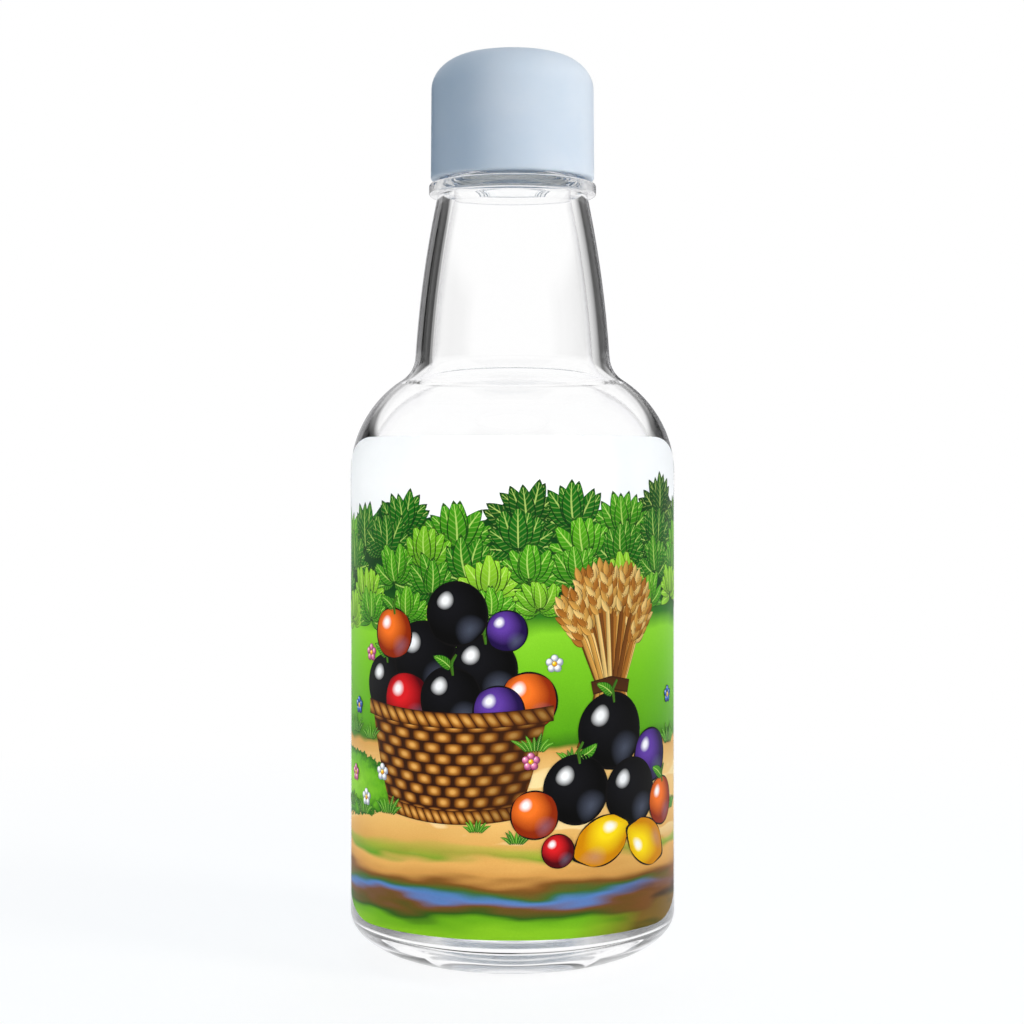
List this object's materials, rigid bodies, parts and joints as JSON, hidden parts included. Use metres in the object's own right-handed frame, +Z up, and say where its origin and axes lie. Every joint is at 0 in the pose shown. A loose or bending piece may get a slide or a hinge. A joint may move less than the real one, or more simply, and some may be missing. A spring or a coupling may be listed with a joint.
{
  "type": "glass bottle",
  "caption": "Small clear glass bottle with a bell shoulder, a tapered neck with a flange, a threaded finish, a lined plastic screw cap and a wrapped front label.",
  "frame": {"origin": "middle of the circle that the bottle stands on, at table height", "axes": "+Z up along the bottle's axis, -Y towards the front, where the label is, +X to the viewer's right"},
  "size_m": [0.038, 0.0382, 0.1055],
  "materials": {
    "glass": "polished clear flint glass",
    "cap_plastic": "satin pale blue-grey moulded plastic",
    "liner_foam": "closed-cell foam",
    "label_vinyl": "printed gloss vinyl"
  },
  "bodies": {
    "bottle": {"bottle": "glass", "label": "label_vinyl"},
    "liner": {"liner": "liner_foam"},
    "cap": {"cap": "cap_plastic"}
  },
  "joints": [
    {"name": "cap_rise", "type": "slide", "parent": "bottle", "child": "liner", "axis": [0, 0, 1], "range_m": [0, 0.0128]},
    {"name": "cap_turn", "type": "hinge", "parent": "liner", "child": "cap", "pos_m": [0, 0, 0.0983], "axis": [0, 0, 1], "range_deg": [0, 1440]}
  ],
  "couplings": [
    {"joint": "cap_rise", "follows": "cap_turn", "m_per_rad": 0.00050532}
  ]
}
